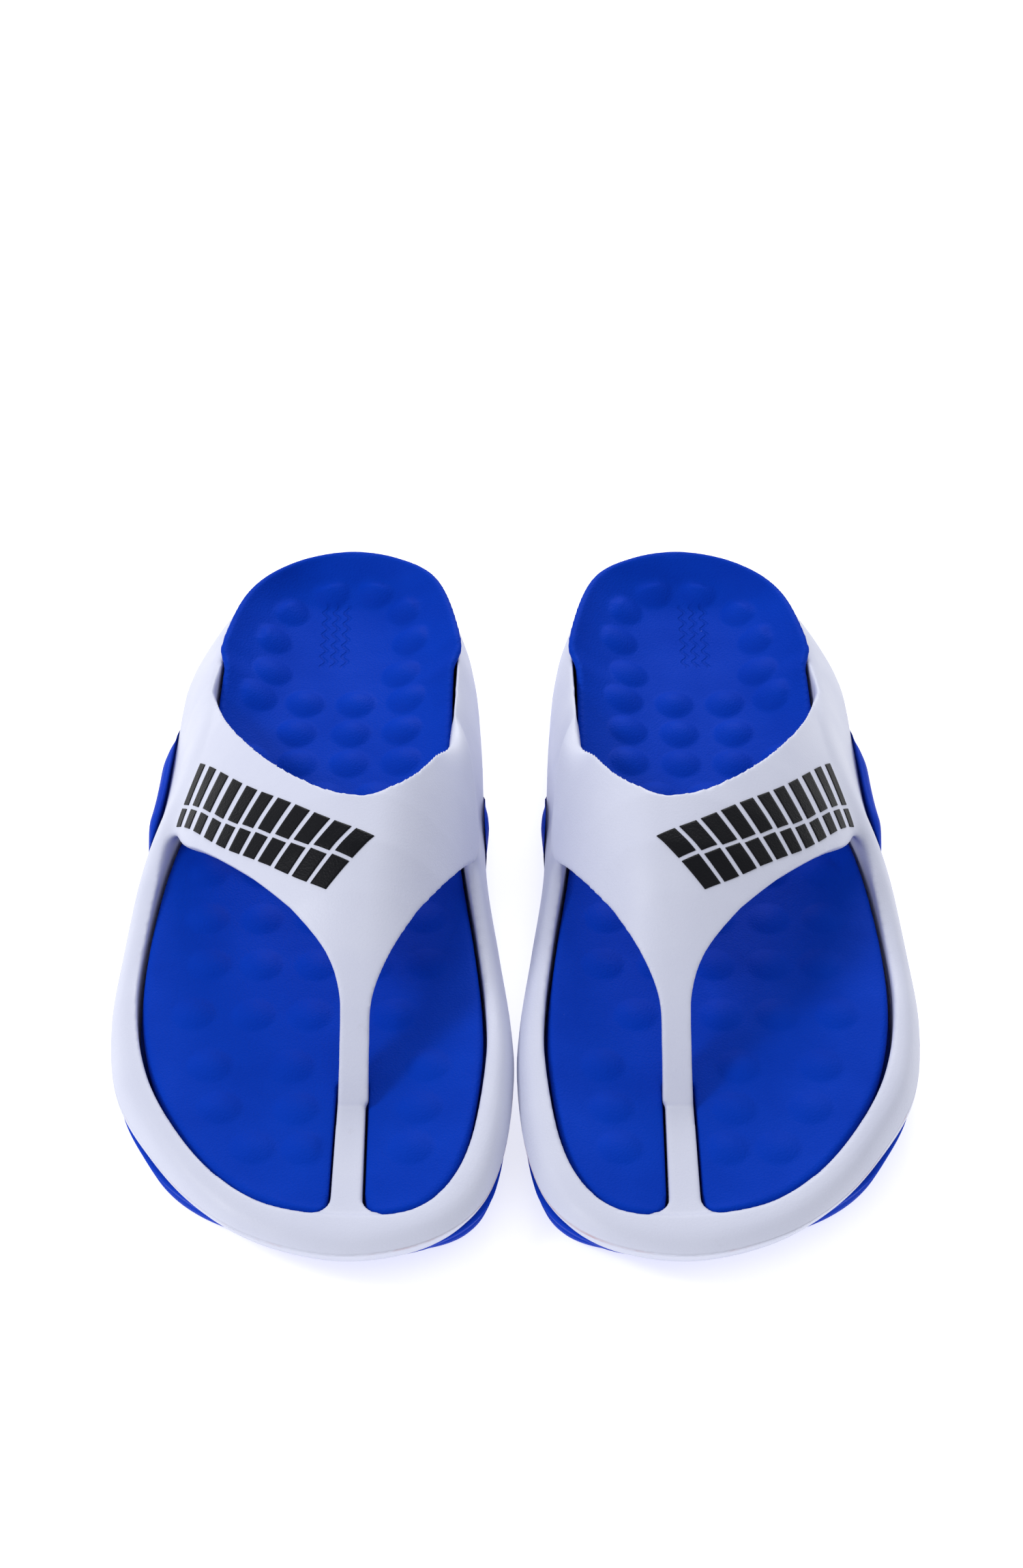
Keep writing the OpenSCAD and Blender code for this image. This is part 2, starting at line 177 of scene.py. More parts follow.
edge = closed_curve(OUTLINE, STEPS)
edge_v = edge[:, 1]
rim_edge = closed_curve(RIM, STEPS)
rim_plan, rim_v, rim_z = rim_edge[:, :2], rim_edge[:, 1], rim_edge[:, 2]
LOOP = len(edge)
HALF = LOOP // 2
is_outer = np.arange(LOOP) < HALF
tangent = np.roll(edge, -1, 0) - np.roll(edge, 1, 0)
inward = np.stack([-tangent[:, 1], tangent[:, 0]], 1)
inward /= np.linalg.norm(inward, axis=1)[:, None]


def ring(plan, z):
    """A loop of points from plan points and heights."""
    return np.column_stack([plan, np.broadcast_to(z, len(plan))])


def inset(d, z, plan=edge):
    """The outline, or another loop that goes with it, moved in by d, at height z."""
    d = np.broadcast_to(d, LOOP)
    return ring(plan + inward * d[:, None], z)


# ---- placing on the frame ----
left_lo, left_hi = (np.array(c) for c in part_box("left_upper"))
drawn_lo, drawn_hi = edge.min(0), edge.max(0)
to_x, to_y = (left_hi[:2] - left_lo[:2]) / (drawn_hi - drawn_lo)


def place(points, side):
    """Shoe points in millimetres to metres on the frame; side is 1 for left and -1 for right."""
    s, v, z = np.asarray(points, float).T
    return np.column_stack([side * (left_lo[0] + (s - drawn_lo[0]) * to_x),
                            left_lo[1] + (v - drawn_lo[1]) * to_y, z * MM])


def add_object(name, verts, faces):
    mesh = bpy.data.meshes.new(name)
    mesh.from_pydata(np.asarray(verts).tolist(), [], faces)
    obj = bpy.data.objects.new(name, mesh)
    bpy.context.scene.collection.objects.link(obj)
    return obj


def add_piece(name, verts, faces, side, material):
    if side < 0:
        faces = [tuple(reversed(f)) for f in faces]
    obj = add_object(name, place(verts, side), faces)
    obj.data.validate()
    obj.data.shade_smooth()
    obj.data.materials.append(material)
    return obj


def both_shoes(node, solid, material):
    """The same piece on both shoes, standing for the CAD node of that name."""
    for side, shoe in ((1, "left"), (-1, "right")):
        obj = add_piece(f"{shoe}_{node}_skin", *solid, side, material)
        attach(obj, f"{shoe}_shoe")
        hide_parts(f"{shoe}_{node}")


# ---- meshes: each solid is a pair of points and faces ----
def band(k, following):
    """Quads between two of the loops in a stack of them."""
    i = np.arange(LOOP)
    j = (i + 1) % LOOP
    return np.column_stack([k * LOOP + i, k * LOOP + j, following * LOOP + j,
                            following * LOOP + i]).tolist()


def lid(base, inner, cols):
    """Quads of a lid whose rungs cross a loop of LOOP points from side to side."""
    def at(j, c):
        if c == 0 or j == 0 or j == HALF:
            return base + j
        if c == cols:
            return base + LOOP - j
        return inner + (j - 1) * (cols - 1) + c - 1
    faces = []
    for j in range(HALF):
        for c in range(cols):
            quad = [at(j, c), at(j, c + 1), at(j + 1, c + 1), at(j + 1, c)]
            quad = tuple(dict.fromkeys(quad))
            if len(quad) > 2:
                faces.append(quad[::-1])
    return faces


def rung_points(loop, cols):
    """Plan points inside a lid, and how far across the rung each lies, from 0 to 1."""
    c = np.arange(1, cols) / cols
    a = loop[1:HALF, None, :2]
    b = loop[:HALF:-1, None, :2]
    return mix(a, b, c[None, :, None]).reshape(-1, 2), np.tile(c, HALF - 1)


def loop_solid(loops, bottom_z, top_z, cols):
    """A closed solid from loops that go up. The two functions give the lids' heights."""
    verts = np.concatenate(loops)
    faces = []
    for k in range(len(loops) - 1):
        faces += band(k, k + 1)
    for k, height, flip in ((0, bottom_z, True), (len(loops) - 1, top_z, False)):
        plan, across = rung_points(loops[k], cols)
        faces += [f[::-1] if flip else f for f in lid(k * LOOP, len(verts), cols)]
        verts = np.concatenate([verts, np.column_stack([plan, height(plan, across)])])
    return verts, faces


def grid_faces(rows, cols, base=0, flip=False):
    faces = []
    for r in range(rows - 1):
        for c in range(cols - 1):
            a = base + r * cols + c
            quad = (a, a + 1, a + cols + 1, a + cols)
            faces.append(quad if flip else quad[::-1])
    return faces


def sheet_solid(top, under):
    """A closed solid between two grids of the same size, as arrays rows x cols x 3."""
    rows, cols = top.shape[:2]
    count = rows * cols
    faces = grid_faces(rows, cols) + grid_faces(rows, cols, count, flip=True)
    border = list(range(cols)) + [r * cols + cols - 1 for r in range(1, rows)]
    border += [(rows - 1) * cols + c for c in range(cols - 2, -1, -1)]
    border += [r * cols for r in range(rows - 2, 0, -1)]
    for a, b in zip(border, border[1:] + border[:1]):
        faces.append((a, b, b + count, a + count))
    return np.concatenate([top.reshape(-1, 3), under.reshape(-1, 3)]), faces


def prism(plan, bottom, top):
    """A closed solid that stands on a plan outline."""
    n = len(plan)
    walls = [(i, (i + 1) % n, n + (i + 1) % n, n + i) for i in range(n)]
    lids = [tuple(range(n))[::-1], tuple(range(n, 2 * n))]
    return np.concatenate([ring(plan, bottom), ring(plan, top)]), walls + lids


def join(*solids):
    verts, faces, base = [], [], 0
    for v, f in solids:
        verts.append(v)
        faces += [tuple(i + base for i in face) for face in f]
        base += len(v)
    return np.concatenate(verts), faces


def moulded(solid, voxel, smooth, cutter=None):
    """One skin round overlapping closed shells, with its creases and edges rounded."""
    work = add_object("work", *solid)
    used = [work]
    if cutter:
        used.append(add_object("cutter", *cutter))
        cut = work.modifiers.new("cut", "BOOLEAN")
        cut.operation = "DIFFERENCE"
        cut.solver = "EXACT"
        cut.object = used[1]
    skin = work.modifiers.new("skin", "REMESH")
    skin.mode = "VOXEL"
    skin.voxel_size = voxel
    soften = work.modifiers.new("soften", "SMOOTH")
    soften.factor = 0.5
    soften.iterations = smooth
    bpy.context.view_layer.update()
    result = work.evaluated_get(bpy.context.evaluated_depsgraph_get()).to_mesh()
    verts = np.empty(len(result.vertices) * 3)
    result.vertices.foreach_get("co", verts)
    faces = [tuple(p.vertices) for p in result.polygons]
    for obj in used:
        mesh = obj.data
        bpy.data.objects.remove(obj)
        bpy.data.meshes.remove(mesh)
    return verts.reshape(-1, 3), faces


def relaxed(verts, faces, weight, rounds):
    """A mesh of quads with each point drawn, by its weight, to the middle of its neighbours."""
    here = np.array(faces)
    after = np.roll(here, -1, 1).ravel()
    here = here.ravel()
    count = np.bincount(here, minlength=len(verts))
    for _ in range(rounds):
        total = np.column_stack([np.bincount(here, verts[after, k], len(verts))
                                 for k in range(3)])
        verts = verts + weight[:, None] * (total / count[:, None] - verts)
    return verts, faces


# ---- the shoe's surfaces ----
def rounded(d):
    """A distance from the strap's crown, flattened near it so that the crown is round."""
    return np.sqrt(d * d + RIDGE_R ** 2) - RIDGE_R


def strap_z(s, v):
    """The strap's top: an arch across the shoe, from its crown down to both side walls."""
    middle = mix(43.2, 41, ramp(60, 150, v))
    outer_reach = mix(64.5, 66, ramp(60, 130, v)) - 3 * ramp(160, 215, v)
    inner_reach = mix(40, 33, ramp(60, 150, v)) - ramp(160, 215, v)
    reach = np.where(s > middle, outer_reach, inner_reach)
    u = np.minimum(1, rounded(s - middle) / rounded(reach))
    power = mix(1.25, 1.6, ramp(85, 150, v))
    return ARCH_FOOT + (lookup(v, RIDGE) - ARCH_FOOT) * (1 - u ** power) ** (1 / power)


def strap_normal(s, v):
    slope_s = strap_z(s + 0.5, v) - strap_z(s - 0.5, v)
    slope_v = strap_z(s, v + 0.5) - strap_z(s, v - 0.5)
    n = np.stack([-slope_s, -slope_v, np.ones_like(slope_s)], -1)
    return n / np.linalg.norm(n, axis=-1, keepdims=True)


def bed_z(u, v):
    """The footbed's top, where u is 0 along its middle and 1 at its edge."""
    return mix(lookup(v, BED_MIDDLE), lookup(v, BED_EDGE), u ** 3)


def bar_half(v):
    """Half the width of the toe bar, which flares where it meets the toe rim."""
    near = np.clip((FLARE_END - v) / FLARE_L, 0, 1)
    flare = FLARE * (1 - np.sqrt(1 - near ** 2))
    return mix(*BAR_HALF, v / BAR_END) + flare


def tuck(v):
    """1 at the tip of the toe, where the rim's lower half tucks in."""
    return (1 - np.minimum(1, v / TUCK_L)) ** TUCK_POWER


def wall_d(z):
    """How far in from the outline the upper's outer face lies at height z, behind the toe."""
    low = mix(FOOT_D, FOOT_TOP_D, (z - SHELF_H) / (FOOT_TOP - SHELF_H))
    middle = mix(FOOT_TOP_D, 0, (z - FOOT_TOP) / (WIDEST_Z - FOOT_TOP))
    high = WALL_LEAN * (z - WIDEST_Z)
    return np.where(z < FOOT_TOP, low, np.where(z < WIDEST_Z, middle, high))


def spring(v):
    """How far the sole curls up off the floor at the toe and at the heel."""
    toe_curl = TOE_SPRING * (1 - np.minimum(1, v / TOE_SPRING_V)) ** 2
    heel_run = DRAWN_L - HEEL_SPRING_V
    return toe_curl + HEEL_SPRING * np.maximum(0, (v - HEEL_SPRING_V) / heel_run) ** 2


# ---- outsole ----
# the bottom edge, from the floor up: how far in from the sole's side, and how high
SOLE_EDGE = [(5, 0), (4, 0.15), (2.9, 0.8), (2.1, 2.0)]
# the side above it: how far in from the sole's side, and how far under the shelf; and for the
# fin, how far in from the outline without a fin, its share of the fin's width, and its height
SOLE_SIDE = [
    (0.8, 2.2, 1.0, 0.5, 8.5), (0.2, 0.9, 0.8, 0.8, 11), (0.1, 0.6, 0.2, 0.95, 14),
    (0.1, 0.5, 0, 1, 17), (0.2, 0.3, 0.1, 0.95, 19.5), (0.3, 0.2, 0.3, 0.75, 21.3),
    (0.5, 0.1, 0.4, 0.4, 22.4), (0.6, 0.05, 0.5, 0, 22.2), (0.9, 0.04, -0.5, 0, 17),
    (1.2, 0.03, 0.2, 0, 12.5), (1.5, 0.02, 2.4, 0, SHELF_H - 0.01)]


def sole_side(beside_wall):
    """How far in the sole's side lies: deep under the toe, and least at the toe's corners."""
    corner = np.where(is_outer, ramp(2, 42, edge_v), ramp(-8, 33, edge_v))
    return 9.8 - 8.5 * corner + 2 * ramp(60, 100, edge_v) - 2.5 * beside_wall


def fin_rise():
    """1 where the fins stand, at the waist, and 0 where the sole's side is plain."""
    fall = np.where(is_outer, ramp(198, 250, edge_v), ramp(174, 207, edge_v))
    return ramp(146, 176, edge_v) * (1 - fall)


def tread(plan, across):
    """Heights of the underside: a shallow zigzag tread inside a plain margin."""
    s, v = plan.T
    zigzag = v + ZIGZAG_H * np.abs((s / ZIGZAG_W) % 2 - 1)
    from_groove = np.abs((zigzag / GROOVE_PITCH) % 1 - 0.5) * GROOVE_PITCH
    from_side = np.minimum(across, 1 - across) * 100
    inside = ramp(3, 5, from_side) * ramp(16, 22, v) * (1 - ramp(270, 276, v))
    return spring(v) + GROOVE_DEPTH * inside * (1 - ramp(0.9, 1.8, from_groove))


def outsole():
    beside_wall = ramp(126, 146, edge_v) * (1 - ramp(252, 268, edge_v))
    side = sole_side(beside_wall)
    rise = fin_rise()
    fin = rise * np.where(is_outer, OUTER_FIN, INNER_FIN)

    def level(d, fin_d, z, fin_z):
        """A loop that changes from the plain side to the fin, and stays clear of the upper."""
        d, z = mix(d, fin_d, rise), mix(z, fin_z, rise)
        return inset(mix(d, np.minimum(d, wall_d(z) - FIT_GAP), beside_wall), z)
    low = spring(edge_v)
    loops = [inset(side + d, low + z) for d, z in SOLE_EDGE]
    # a shallow groove runs round the side, halfway up to the shelf
    halfway = mix(low, SHELF_H, 0.5)
    loops += [inset(side + 1.2, halfway + 0.2), inset(side + 1.5, halfway + 0.7)]
    loops += [level(side + d, fin_d - share * fin, SHELF_H - drop, fin_z)
              for d, drop, fin_d, share, fin_z in SOLE_SIDE]
    loops.append(inset(side + 2.4, SHELF_H))
    return loop_solid(loops, tread, lambda plan, across: np.full(len(plan), SHELF_H), LID_COLS)


# ---- footbed ----
def bed_block():
    """The footbed without its slot and bumps. Its heel cup laps over the white wall."""
    lap = ramp(226, 236, rim_v)
    gap = BED_GAP + 0.4 * ramp(30, 60, rim_v) * (1 - ramp(100, 130, rim_v)) * is_outer
    edge_z = bed_z(1, rim_v)

    def at(d, z):
        return inset(d, z, rim_plan)
    loops = [
        at(BED_GAP + 0.8, BED_FLOOR),
        at(gap, np.minimum(edge_z - 2.4, 37.0)),
        at(mix(gap, -1.3, lap), edge_z - 2.2),
        at(mix(gap, -2.0, lap), edge_z - 1.3),
        at(mix(gap + 0.5, -1.5, lap), edge_z - 0.3),
        at(mix(gap + 1.5, -0.2, lap), edge_z)]
    return loop_solid(loops, lambda plan, across: np.full(len(plan), BED_FLOOR),
                      lambda plan, across: bed_z(np.abs(2 * across - 1), plan[:, 1]), BED_COLS)


def bar_slot():
    """A cutter for the slot that the toe bar lies in, open in front and round behind."""
    v = np.concatenate([np.linspace(-4, 16, 14), np.linspace(20, BAR_END, 6)])
    half = bar_half(v) + SLOT_GAP
    turn = np.linspace(0, math.pi, 9)[1:-1]
    tail = np.column_stack([BAR_X + half[-1] * np.cos(turn), BAR_END + half[-1] * np.sin(turn)])
    plan = np.concatenate([np.column_stack([BAR_X + half, v]), tail,
                           np.column_stack([BAR_X - half, v])[::-1]])
    return prism(plan, SHELF_H - 3, 45)


def bump_rise(s, v):
    """The bumps' rounded tops at plan points, from 0 beside them to 1 on top."""
    rise = np.zeros(len(s))
    for row_v, across in BUMP_ROWS:
        for bump_s in across:
            r = np.hypot(s - bump_s, v - row_v) / BUMP_R
            rise = np.maximum(rise, np.clip(1 - r * r, 0, 1) ** 1.15)
    return rise


def edge_fade(s, v):
    """1 inside the footbed's top, and 0 near its edge and beside the toe bar."""
    to_edge = np.full(len(s), np.inf)
    for q in rim_plan[::3]:
        to_edge = np.minimum(to_edge, np.hypot(s - q[0], v - q[1]))
    to_bar = np.where(v < BAR_END + 5, np.abs(s - BAR_X) - 4.5, np.inf)
    return ramp(5, 10, to_edge) * ramp(1.5, 5, to_bar)


def footbed():
    verts, faces = moulded(bed_block(), BED_VOXEL, BED_SMOOTH, bar_slot())
    top = verts[:, 2] > SHELF_H + 9
    s, v = verts[top, :2].T
    lower_in_front = mix(0.6, 1, ramp(150, 215, v))
    verts[top, 2] += bump_rise(s, v) * BUMP_H * lower_in_front * edge_fade(s, v)
    return verts, faces


# ---- upper ----
def rim_ring():
    """The rim and side walls as one closed ring: up outside, over the top and down inside."""
    power = mix(4, 1.55, ramp(135, 175, rim_v))    # square at the forefoot, and sloping behind
    toe = tuck(edge_v)

    def top(f):
        z = mix(WIDEST_Z + TOE_LIFT * toe, rim_z, 1 - (1 - f) ** power)
        return ring(mix(edge, rim_plan, f), z)
    rings = [inset(FOOT_D + 4.6 * toe, WALL_FOOT), inset(1.6 + 4.5 * toe, 10.4),
             inset(FOOT_TOP_D + 4.3 * toe, FOOT_TOP), inset(0.15 + 2.6 * toe, 15)]
    rings += [top(f) for f in (0, 0.05, 0.12, 0.2, 0.3, 0.42, 0.55, 0.7, 0.85, 0.96)]
    rings += [ring(rim_plan, rim_z - drop) for drop in (0.5, 3)]
    rings.append(ring(rim_plan, WALL_FOOT))
    faces = []
    for i in range(len(rings)):
        faces += band(i, (i + 1) % len(rings))
    return np.concatenate(rings), faces


def strap_sheet():
    """The toe post and the Y-shaped strap as one sheet, down to the side walls."""
    rows, cols = STRAP_GRID
    lines = open_curve(STRAP_ROWS, np.linspace(0, len(STRAP_ROWS) - 1, rows))
    grid = np.stack([open_curve(line, np.linspace(0, 4, cols)) for line in lines])
    # the last rows are pulled onto the rear edge
    rear = open_curve(REAR_EDGE, np.linspace(0, len(REAR_EDGE) - 1, cols))
    pull = np.maximum(np.linspace(2 - len(STRAP_ROWS), 1, rows), 0)[:, None, None]
    grid = grid + pull ** 2 * (rear - grid[-1])
    s, v = grid[..., 0], grid[..., 1]
    z = strap_z(s, v)
    # towards the heel both arms come down to the tops of the side walls
    arm = np.where(s > MIDDLE_S, ramp(178, 208, v) * ramp(86, 95, s),
                   ramp(152, 182, v) * (1 - ramp(20, 27, s)))
    z = mix(z, np.minimum(z, lookup(v, WALL_TOP)), arm)
    top = np.stack([s, v, z], -1)
    thick = mix(POST_T, STRAP_T, ramp(64, 96, grid[:, cols // 2, 1]))[:, None, None]
    # the rear edge is cut nearly straight down
    down = mix(strap_normal(s, v), np.array([0, 0, 1.0]), 0.8 * pull) * (1 + 0.3 * pull)
    return sheet_solid(top, top - down * thick)


def toe_bar():
    """The flat bar from the toe post forward into the toe rim."""
    v = np.concatenate([np.linspace(BAR_START, 18, 12), np.linspace(20, BAR_END, 22)])
    half = bar_half(v)
    height = BAR_TOP - 3 * ramp(51, 57, v)         # its rear end dips under the post
    top = np.stack([np.column_stack([BAR_X - across * half, v, height])
                    for across in np.linspace(-1, 1, 9)], 1)
    under = top.copy()
    under[..., 2] = BED_FLOOR
    return sheet_solid(top, under)


def upper():
    shells = join(rim_ring(), strap_sheet(), toe_bar())
    verts, faces = moulded(shells, UPPER_VOXEL, UPPER_SMOOTH)
    # the strap's arms run smoothly into the side walls
    s, v, z = verts.T
    beside = np.where(s > MIDDLE_S, ramp(91, 98, s), 1 - ramp(13, 19, s))
    weight = beside * ramp(136, 150, v) * (1 - ramp(215, 235, v)) * ramp(19, 25, z)
    return relaxed(verts, faces, RELAX_WEIGHT * weight, RELAX_ROUNDS)


# ---- strap print ----
# the strip's lower and upper edges, as s and v, from the little toe's side in
PRINT_LOW = [(100.5, 153), (86.5, 129.3), (74.1, 116), (62.3, 106), (51, 98.7)]
PRINT_HIGH = [(96.4, 175.3), (80.2, 147.5), (65.8, 131.5), (52.3, 120.7), (39.3, 113.8)]
PRINT_BARS = 11
# shares of the strip's length: the first and last bar's width, and a bar's lean to its head
THIN, WIDE, LEAN = 0.028, 0.1, 0.035
# shares of the strip's height: the cut through the first and last bar, and half the cut
CUT_FIRST, CUT_LAST, CUT_HALF = 0.3, 0.55, 0.03
FILM_GRID = 17, 9                      # rows and columns of points on a piece of film
FILM_OVER, FILM_UNDER = 0.22, 0.15     # the film's two faces, over and under the strap's skin


def strip_point(a, b):
    """Plan points at a along the strip and b up it."""
    last = len(PRINT_LOW) - 1
    return mix(open_curve(PRINT_LOW, a * last), open_curve(PRINT_HIGH, a * last), b[:, None])


def print_bars():
    """Each half bar's start and width along the strip, and its foot and head up it."""
    widths = np.linspace(THIN, WIDE, PRINT_BARS)
    gap = (1 - LEAN - widths.sum()) / (PRINT_BARS - 1)
    starts = np.cumsum(widths + gap) - widths - gap
    for start, width in zip(starts, widths):
        cut = mix(CUT_FIRST, CUT_LAST, start)
        yield start, width, 0, cut - CUT_HALF
        yield start, width, cut + CUT_HALF, 1


def film(strap, start, width, foot, head):
    """One closed piece of film that lies on the strap, given as a tree of its faces."""
    rows, cols = FILM_GRID
    b = np.linspace(foot, head, rows)
    top = np.empty((rows, cols, 3))
    under = np.empty((rows, cols, 3))
    for c in range(cols):
        plan = strip_point(start + LEAN * b + width * c / (cols - 1), b)
        heights = strap_z(*plan.T)
        for r in range(rows):
            near, normal, _, _ = strap.find_nearest(Vector((*plan[r], heights[r])))
            if normal.z < 0:
                normal = -normal
            top[r, c] = near + normal * FILM_OVER
            under[r, c] = near - normal * FILM_UNDER
    return sheet_solid(top, under)


def strap_print(verts, faces):
    """The printed bars on the upper that has these points and faces."""
    strap = BVHTree.FromPolygons([Vector(v) for v in verts.tolist()], faces)
    return join(*(film(strap, *bar) for bar in print_bars()))


# ---- materials ----
class Surface:
    """A material and its nodes. A value is a number, a colour of three numbers or a socket."""

    def __init__(self, name):
        self.material = bpy.data.materials.new(name)
        self.material.use_nodes = True
        self.nodes = self.material.node_tree.nodes
        self.links = self.material.node_tree.links
        self.shader = self.nodes["Principled BSDF"]

    def feed(self, socket, value):
        if isinstance(value, bpy.types.NodeSocket):
            self.links.new(value, socket)
        elif isinstance(value, tuple):
            socket.default_value = (*value, 1)
        else:
            socket.default_value = value

    def finish(self, values):
        """The material, with these values on its shader's own sockets."""
        for key, value in values.items():
            self.feed(self.shader.inputs[key], value)
        return self.material

    def add(self, kind, values, **settings):
        """The outputs of a new node."""
        node = self.nodes.new("ShaderNode" + kind)
        for key, value in settings.items():
            setattr(node, key, value)
        for key, value in values.items():
            self.feed(node.inputs[key], value)
        return node.outputs

    def spot(self):
        """Where a point lies, in metres in the frame."""
        return self.add("TexCoord", {})["Object"]

    def noise(self, scale, detail, rough=0.5):
        return self.add("TexNoise", {"Vector": self.spot(), "Scale": scale, "Detail": detail,
                                     "Roughness": rough})["Fac"]

    def cells(self, scale):
        return self.add("TexVoronoi", {"Vector": self.spot(), "Scale": scale})

    def maths(self, operation, *values):
        return self.add("Math", dict(enumerate(values)), operation=operation)["Value"]

    def remap(self, value, lo, hi, to_lo, to_hi):
        return self.add("MapRange", {"Value": value, "From Min": lo, "From Max": hi,
                                     "To Min": to_lo, "To Max": to_hi})["Result"]

    def tint(self, factor, a, b):
        """The colour a where the factor is 0, and b where it is 1."""
        return self.add("Mix", {"Factor": factor, "A": a, "B": b}, data_type="RGBA")["Result"]

    def shoe_coords(self):
        """Sockets of s, v and z in millimetres, the same on both shoes."""
        x, y, z = self.add("SeparateXYZ", {"Vector": self.spot()})
        s = self.maths("MULTIPLY", self.maths("ABSOLUTE", x), 1000)
        v = self.maths("MULTIPLY_ADD", y, 1000, DRAWN_L / 2)
        return s, v, self.maths("MULTIPLY", z, 1000)

    def specks(self, scale, size):
        """1 in sparse tiny specks."""
        cells = self.cells(scale)
        near = self.remap(cells["Distance"], size * 0.6, size, 1, 0)
        chosen = self.remap(cells["Color"], 0.62, 0.66, 0, 1)
        return self.maths("MULTIPLY", near, chosen)


def parting_line(surface):
    """1 on the thin ridge that the two mould halves leave along the widest line of the upper."""
    _, v, z = surface.shoe_coords()
    toe = surface.maths("POWER", surface.remap(v, 0, TUCK_L, 1, 0), TUCK_POWER)
    ridge_z = surface.maths("MULTIPLY_ADD", toe, TOE_LIFT, WIDEST_Z)
    off = surface.maths("ABSOLUTE", surface.maths("SUBTRACT", z, ridge_z))
    return surface.remap(off, 0.15, 0.55, 1, 0)


def heel_mark(surface):
    """1 in the short wavy lines pressed into the middle of the heel."""
    middle_s, middle_v, pitch, wave_h = 58.2, 254, 1.7, 0.8
    s, v, _ = surface.shoe_coords()
    wave = surface.maths("SINE", surface.maths("MULTIPLY", v, 1.2))
    u = surface.maths("MULTIPLY_ADD", wave, wave_h, s)
    u = surface.maths("SUBTRACT", u, middle_s)
    line = surface.remap(surface.maths("PINGPONG", u, pitch), 0.3, 0.8, 1, 0)
    inside = surface.remap(surface.maths("ABSOLUTE", u), 4.3, 4.6, 1, 0)
    along = surface.maths("ABSOLUTE", surface.maths("SUBTRACT", v, middle_v))
    ends = surface.remap(along, 14, 15.5, 1, 0)
    return surface.maths("MULTIPLY", surface.maths("MULTIPLY", line, inside), ends)


def upper_marks(surface, base, height):
    """The parting line with its faint reddish scuffs, and a few dark specks."""
    line = parting_line(surface)
    rub = surface.remap(surface.noise(28, 5, 0.7), 0.5, 0.68, 0, 0.8)
    base = surface.tint(surface.maths("MULTIPLY", line, rub), base, (0.5, 0.34, 0.4))
    smudge = surface.remap(surface.noise(70, 6, 0.75), 0.66, 0.78, 0, 0.25)
    base = surface.tint(smudge, base, (0.36, 0.33, 0.36))
    base = surface.tint(surface.specks(55, 0.022), base, (0.12, 0.1, 0.1))
    return base, surface.maths("MULTIPLY_ADD", line, 0.18 * MM, height)


def footbed_marks_and_shade(surface, base, height):
    """Wavy lines pressed into the heel, darkened with painted shade in their hollows, and a few
    pale dust specks.
    """
    line = heel_mark(surface)
    # painted shade: the pressed lines are tinted darker, as if their hollows lay in shade
    base = surface.tint(surface.maths("MULTIPLY", line, 0.35), base, (0.001, 0.03, 0.36))
    base = surface.tint(surface.specks(70, 0.018), base, (0.1, 0.16, 0.6))
    return base, surface.maths("MULTIPLY_ADD", line, -0.25 * MM, height)


def foam(name, colour, deep, rough, grain, gloss, marks=None):
    """Matte moulded foam: a fine pebbled grain, cloudy colour and a soft uneven gloss.

    marks is a function that adds a piece's own lines to the colour and the height.
    """
    surface = Surface(name)
    cloud = surface.noise(45, 4)
    base = surface.tint(surface.remap(cloud, 0.35, 0.7, 0, 1), colour, deep)
    uneven = surface.remap(cloud, 0.3, 0.7, rough - 0.05, rough + 0.06)
    pebbles = surface.maths("ADD", surface.cells(1500)["Distance"], surface.noise(2600, 2))
    height = surface.maths("MULTIPLY", pebbles, grain * 0.2 * MM)
    if marks:
        base, height = marks(surface, base, height)
    bump = surface.add("Bump", {"Strength": 1, "Distance": 1, "Height": height})["Normal"]
    return surface.finish({"Base Color": base, "Roughness": uneven,
                           "Specular IOR Level": gloss, "Normal": bump})


def blue_foam():
    return foam("blue_foam", colour=(0.001, 0.04, 0.46), deep=(0.001, 0.034, 0.41),
                rough=0.6, grain=0.5, gloss=0.03, marks=footbed_marks_and_shade)


def sole_foam():
    return foam("sole_foam", colour=(0.002, 0.044, 0.50), deep=(0.0015, 0.036, 0.45),
                rough=0.6, grain=0.3, gloss=0.08)


def white_foam():
    return foam("white_foam", colour=(0.61, 0.635, 0.775), deep=(0.585, 0.61, 0.755),
                rough=0.46, grain=0.15, gloss=0.3, marks=upper_marks)


def print_ink():
    return foam("print_ink", colour=(0.004, 0.0045, 0.007), deep=(0.006, 0.0065, 0.009),
                rough=0.45, grain=0.4, gloss=0.1)


def pale_floor():
    return Surface("pale_floor").finish({
        "Base Color": (0.6, 0.6, 0.6), "Roughness": 0.9,
        "Emission Color": (1.0, 1.0, 1.0), "Emission Strength": 0.7})


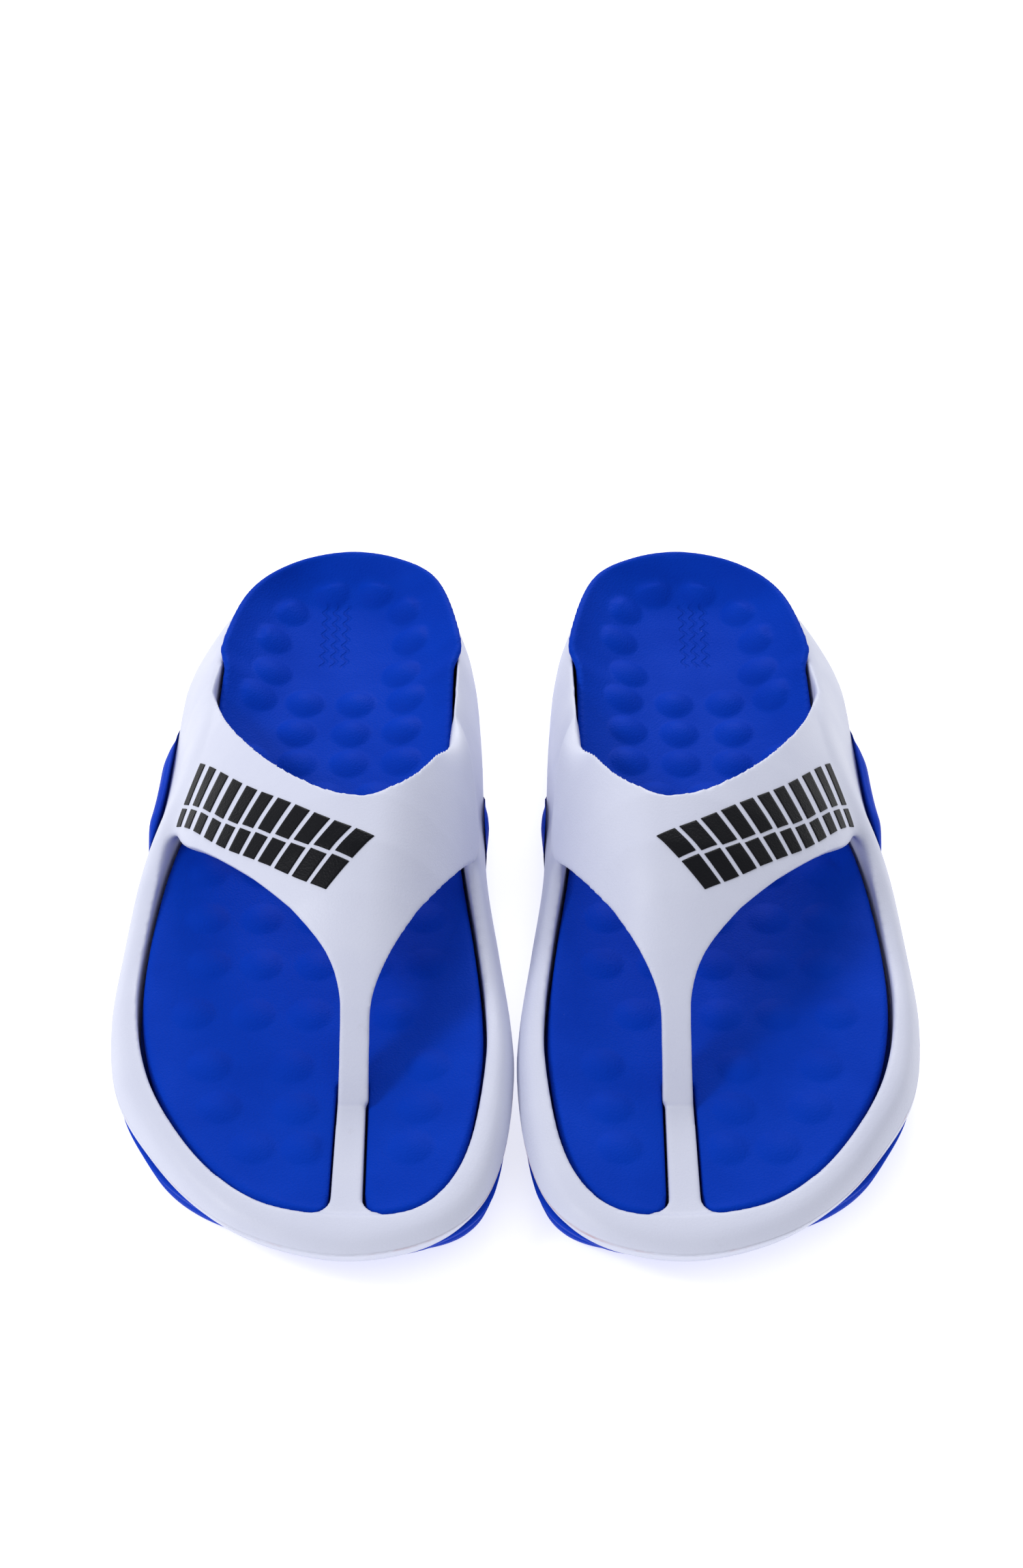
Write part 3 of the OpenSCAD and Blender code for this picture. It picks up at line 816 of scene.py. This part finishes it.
# ---- floor, light and camera, in metres ----
FLOOR = 20.0
WORLD_LIGHT = 0.68
LIGHT_TARGET = 0, 0, 0.03
CAMERA_SIDE, CAMERA_BACK, CAMERA_UP = -0.0011, 0.670, 0.624
CAMERA_PITCH = math.radians(40.1)
CAMERA_LENS, CAMERA_SENSOR = 69.1, 36      # in millimetres


def add_floor():
    corners = [(-FLOOR, -FLOOR, 0), (FLOOR, -FLOOR, 0), (FLOOR, FLOOR, 0), (-FLOOR, FLOOR, 0)]
    floor = add_object("floor", corners, [(0, 1, 2, 3)])
    floor.data.materials.append(pale_floor())


def add_world():
    world = bpy.data.worlds.new("studio")
    bpy.context.scene.world = world
    world.use_nodes = True
    background = world.node_tree.nodes["Background"]
    background.inputs["Color"].default_value = (1, 1, 1, 1)
    background.inputs["Strength"].default_value = WORLD_LIGHT
    bpy.context.scene.view_settings.view_transform = "Standard"


def area_light(name, location, size, power):
    data = bpy.data.lights.new(name, "AREA")
    data.shape = "SQUARE"
    data.size = size
    data.energy = power
    obj = bpy.data.objects.new(name, data)
    obj.location = location
    ray = Vector(LIGHT_TARGET) - Vector(location)
    obj.rotation_euler = ray.to_track_quat("-Z", "Y").to_euler()
    bpy.context.scene.collection.objects.link(obj)


def add_camera():
    data = bpy.data.cameras.new("camera")
    data.sensor_width = CAMERA_SENSOR
    data.lens = CAMERA_LENS
    camera = bpy.data.objects.new("camera", data)
    camera.location = (CAMERA_SIDE, -CAMERA_BACK, CAMERA_UP)
    camera.rotation_euler = (math.pi / 2 - CAMERA_PITCH, 0, 0)
    bpy.context.scene.collection.objects.link(camera)
    bpy.context.scene.camera = camera


# ---- build ----
upper_skin = upper()
both_shoes("outsole", outsole(), sole_foam())
both_shoes("footbed", footbed(), blue_foam())
both_shoes("upper", upper_skin, white_foam())
both_shoes("strap_print", strap_print(*upper_skin), print_ink())

add_floor()
add_world()
area_light("back", (0.1, 1.3, 0.8), 0.6, 9)
area_light("side", (-0.95, -0.3, 0.95), 0.3, 6)
add_camera()
